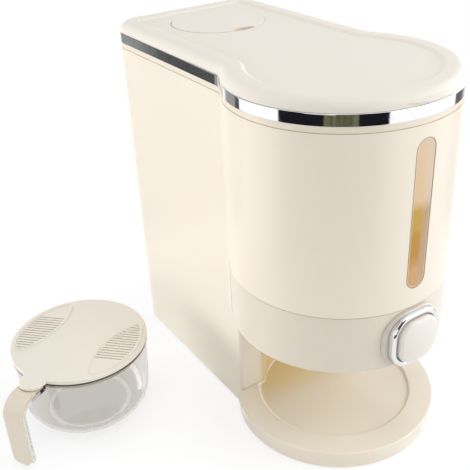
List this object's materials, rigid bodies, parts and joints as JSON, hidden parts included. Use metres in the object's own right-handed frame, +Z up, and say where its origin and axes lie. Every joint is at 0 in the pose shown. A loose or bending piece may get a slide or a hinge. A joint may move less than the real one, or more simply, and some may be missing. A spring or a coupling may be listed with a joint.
{
  "type": "rice dispenser with measuring cup",
  "caption": "Keyhole-plan countertop rice dispenser with a hinged lid, sight window, push-button gate over an open niche, and a clear measuring cup with a slotted lid.",
  "frame": {"origin": "on the floor, on the axis of the round drum, in the middle of the ring foot", "axes": "+Z up; the drum's front with the button faces -Y and the tank runs back along +Y; the cup stands at -X"},
  "size_m": [0.4078, 0.3908, 0.358],
  "materials": {
    "shell_cream": "glossy moulded",
    "lid_cream": "satin moulded",
    "base_cream": "glossy moulded",
    "chrome": "polished plating",
    "amber_clear": "polished transparent",
    "clear_plastic": "polished transparent",
    "inner_plastic": "satin moulded",
    "frosted_plastic": "satin moulded",
    "silicone": "soft matte",
    "dark_seal": "soft satin",
    "foot_rubber": "matte",
    "steel": "plated"
  },
  "bodies": {
    "dispenser": {"main_shell": "shell_cream", "collar": "shell_cream", "base_tray": "base_cream", "base_cover": "inner_plastic", "foot_ring": "foot_rubber", "rear_feet": "foot_rubber", "base_screws": "steel", "rim_frame": "lid_cream", "trim_band": "chrome", "hinge_bracket": "shell_cream", "hinge_pin": "steel", "bracket_screws": "steel", "window_lens": "amber_clear", "window_gasket": "silicone", "hopper_floor": "inner_plastic", "hopper_seal": "silicone", "gate_housing": "inner_plastic", "housing_screws": "steel", "outlet_spout": "frosted_plastic", "button_surround": "shell_cream", "button_bezel": "chrome"},
    "lid": {"lid": "lid_cream", "lid_gasket": "silicone", "desiccant_box": "frosted_plastic"},
    "desiccant_cap": {"desiccant_cap": "lid_cream"},
    "button": {"button_cap": "shell_cream", "push_rod": "inner_plastic", "gate": "inner_plastic", "return_spring": "steel"},
    "cup": {"cup_body": "clear_plastic", "cup_handle_cover": "lid_cream"},
    "cup_lid": {"cup_lid": "lid_cream", "cup_lid_seal": "dark_seal"}
  },
  "joints": [
    {"name": "lid_hinge", "type": "hinge", "parent": "dispenser", "child": "lid", "pos_m": [0, 0.272, 0.3495], "axis": [-1, 0, 0], "range_deg": [0, 95]},
    {"name": "cap_lift", "type": "slide", "parent": "lid", "child": "desiccant_cap", "axis": [0, 0, 1], "range_m": [0, 0.06]},
    {"name": "button_press", "type": "slide", "parent": "dispenser", "child": "button", "axis": [0, 1, 0], "range_m": [0, 0.014], "stiffness_N_per_m": 350, "springref_m": -0.006, "deforming": ["return_spring"]},
    {"name": "cup_lift", "type": "slide", "parent": "dispenser", "child": "cup", "axis": [0, 0, 1], "range_m": [0, 0.12]},
    {"name": "cup_lid_lift", "type": "slide", "parent": "cup", "child": "cup_lid", "axis": [0, 0, 1], "range_m": [0, 0.08]}
  ]
}
